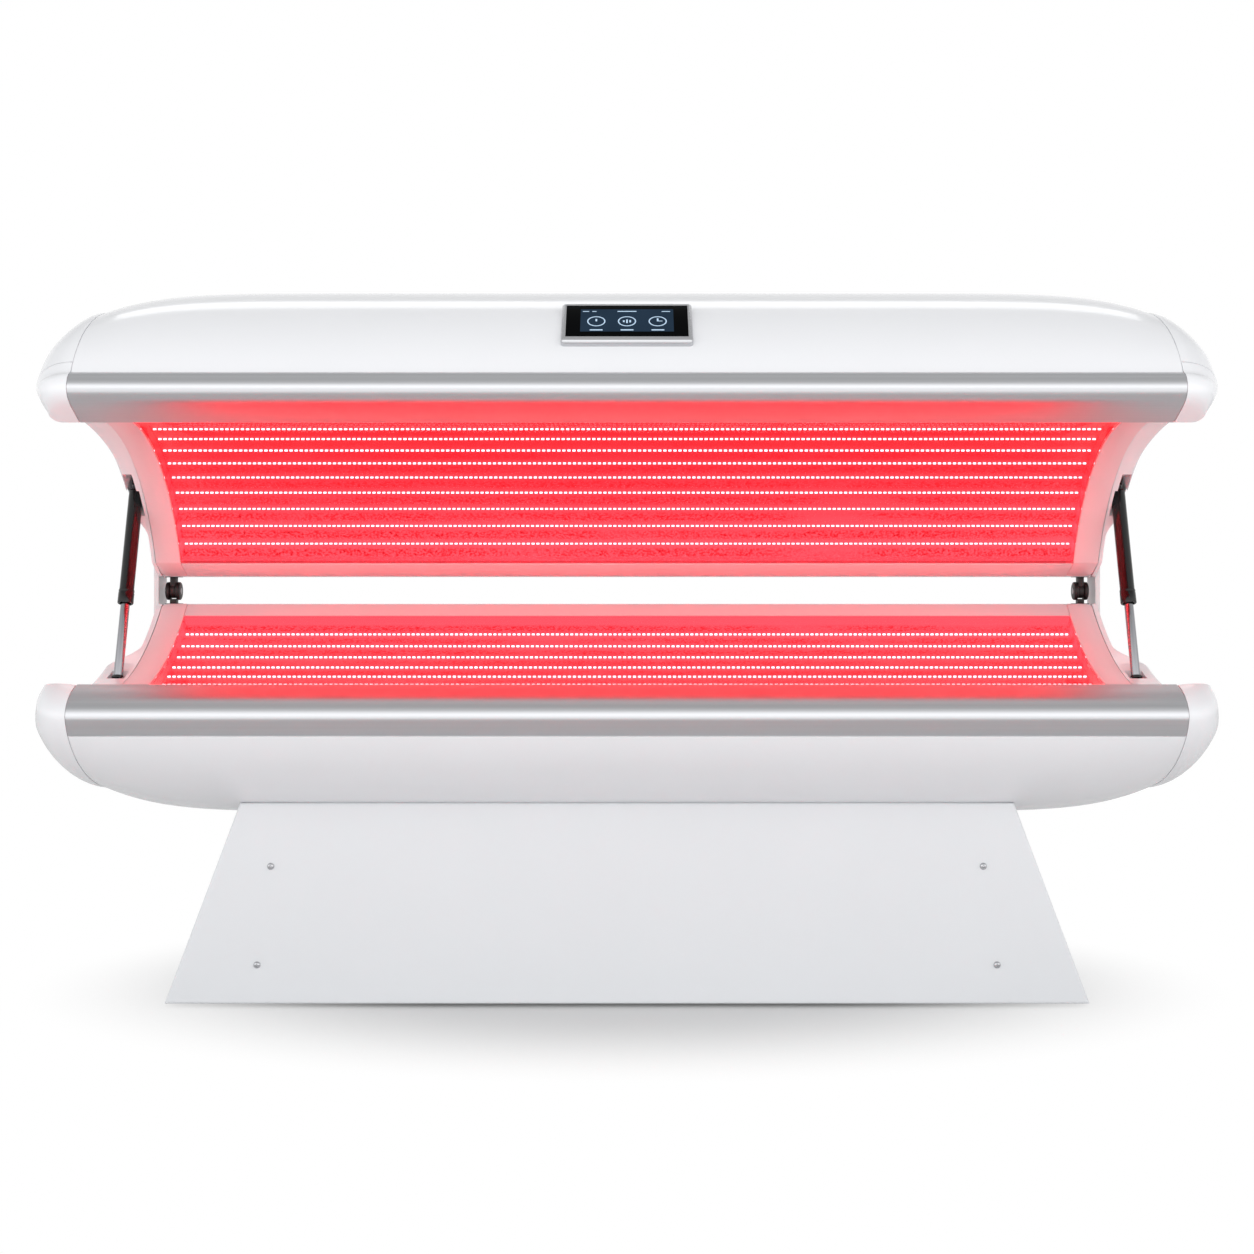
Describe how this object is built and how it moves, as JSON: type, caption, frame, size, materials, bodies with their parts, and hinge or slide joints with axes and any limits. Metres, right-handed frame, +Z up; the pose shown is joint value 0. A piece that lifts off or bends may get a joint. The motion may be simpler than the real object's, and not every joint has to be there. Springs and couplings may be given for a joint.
{
  "type": "red light therapy bed",
  "caption": "Clamshell red light therapy bed: a curved bed and a hinged canopy lined with LED panels behind clear acrylic, held open by gas springs, on a tapered base.",
  "frame": {"origin": "on the floor, under the middle of the whole object", "axes": "+X to the right, +Y to the back, +Z up"},
  "size_m": [2.204, 0.8844, 1.4159],
  "materials": {
    "gloss_white_shell": "gloss white moulded shell",
    "gloss_white_cap": "gloss white moulded end cap",
    "satin_aluminium": "satin anodised",
    "clear_acrylic": "clear polished sheet",
    "lit_led_panel": "panel with rows of red LEDs, lit",
    "white_lining": "satin white",
    "white_side_plate": "satin white",
    "black_hinge": "black painted steel",
    "hinge_pin": "turned steel",
    "black_spring_tube": "black painted tube",
    "chrome_rod": "ground and chromed",
    "bright_stud": "zinc plated",
    "silver_bezel": "silver painted",
    "black_glass": "black glass",
    "circuit_board": "green solder mask",
    "white_panel": "white powder coat",
    "grey_trestle": "grey powder coat",
    "black_foot": "moulded rubber",
    "bright_screw": "domed, zinc plated",
    "supply_case": "grey sheet steel",
    "black_plastic": "black moulded"
  },
  "bodies": {
    "bed": {"base_fan_frame_left": "black_plastic", "base_fan_frame_right": "black_plastic", "base_front_panel": "white_panel", "base_rear_panel": "white_panel", "base_side_panel_left": "white_panel", "base_side_panel_right": "white_panel", "base_trestle_left": "grey_trestle", "base_trestle_right": "grey_trestle", "bed_acrylic": "clear_acrylic", "bed_cheek_left": "white_lining", "bed_cheek_right": "white_lining", "bed_end_cap_left": "gloss_white_cap", "bed_end_cap_right": "gloss_white_cap", "bed_front_rail": "satin_aluminium", "bed_led_panel": "lit_led_panel", "bed_rear_trim": "white_lining", "bed_shell": "gloss_white_shell", "hinge_fork_left": "black_hinge", "hinge_fork_right": "black_hinge", "hinge_pin_left": "hinge_pin", "hinge_pin_right": "hinge_pin", "hinge_side_plate_left": "white_side_plate", "hinge_side_plate_right": "white_side_plate", "levelling_foot_front_left": "black_foot", "levelling_foot_front_right": "black_foot", "levelling_foot_rear_left": "black_foot", "levelling_foot_rear_right": "black_foot", "mains_inlet": "black_plastic", "panel_screw_1": "bright_screw", "panel_screw_2": "bright_screw", "panel_screw_3": "bright_screw", "panel_screw_4": "bright_screw", "power_supply": "supply_case", "strut_lower_stud_left": "bright_stud", "strut_lower_stud_right": "bright_stud"},
    "canopy": {"canopy_acrylic": "clear_acrylic", "canopy_cheek_left": "white_lining", "canopy_cheek_right": "white_lining", "canopy_corner_cover_left": "gloss_white_cap", "canopy_corner_cover_right": "gloss_white_cap", "canopy_end_cap_left": "gloss_white_cap", "canopy_end_cap_right": "gloss_white_cap", "canopy_front_rail": "satin_aluminium", "canopy_led_panel": "lit_led_panel", "canopy_rear_trim": "white_lining", "canopy_shell": "gloss_white_shell", "display_bezel": "silver_bezel", "display_screen": "black_glass", "hinge_lug_left": "black_hinge", "hinge_lug_right": "black_hinge", "strut_upper_stud_left": "bright_stud", "strut_upper_stud_right": "bright_stud", "control_board": "circuit_board"},
    "strut_cylinder_left": {"strut_cylinder_left": "black_spring_tube"},
    "strut_rod_left": {"strut_rod_left": "chrome_rod"},
    "fan_rotor_left": {"base_fan_rotor_left": "black_plastic"},
    "strut_cylinder_right": {"strut_cylinder_right": "black_spring_tube"},
    "strut_rod_right": {"strut_rod_right": "chrome_rod"},
    "fan_rotor_right": {"base_fan_rotor_right": "black_plastic"}
  },
  "joints": [
    {"name": "canopy_hinge", "type": "hinge", "parent": "bed", "child": "canopy", "pos_m": [0, 0.25603, 0.808], "axis": [1, 0, 0], "range_deg": [0, 38]},
    {"name": "strut_rod_pivot_left", "type": "hinge", "parent": "bed", "child": "strut_rod_left", "pos_m": [-1.052, -0.02497, 0.618], "axis": [1, 0, 0], "range_deg": [0, 15]},
    {"name": "strut_cylinder_pivot_left", "type": "hinge", "parent": "canopy", "child": "strut_cylinder_left", "pos_m": [-1.052, 0.12253, 1.0465], "axis": [1, 0, 0], "range_deg": [-26, 0]},
    {"name": "fan_spin_left", "type": "hinge", "parent": "bed", "child": "fan_rotor_left", "pos_m": [-0.3, 0.15623, 0.215], "axis": [0, 1, 0], "continuous": true},
    {"name": "strut_rod_pivot_right", "type": "hinge", "parent": "bed", "child": "strut_rod_right", "pos_m": [1.052, -0.02497, 0.618], "axis": [1, 0, 0], "range_deg": [0, 15]},
    {"name": "strut_cylinder_pivot_right", "type": "hinge", "parent": "canopy", "child": "strut_cylinder_right", "pos_m": [1.052, 0.12253, 1.0465], "axis": [1, 0, 0], "range_deg": [-26, 0]},
    {"name": "fan_spin_right", "type": "hinge", "parent": "bed", "child": "fan_rotor_right", "pos_m": [0.3, 0.15623, 0.215], "axis": [0, 1, 0], "continuous": true}
  ],
  "couplings": [
    {"joint": "strut_rod_pivot_left", "follows": "canopy_hinge", "ratio": 0.365},
    {"joint": "strut_cylinder_pivot_left", "follows": "canopy_hinge", "ratio": -0.635},
    {"joint": "strut_rod_pivot_right", "follows": "canopy_hinge", "ratio": 0.365},
    {"joint": "strut_cylinder_pivot_right", "follows": "canopy_hinge", "ratio": -0.635}
  ]
}
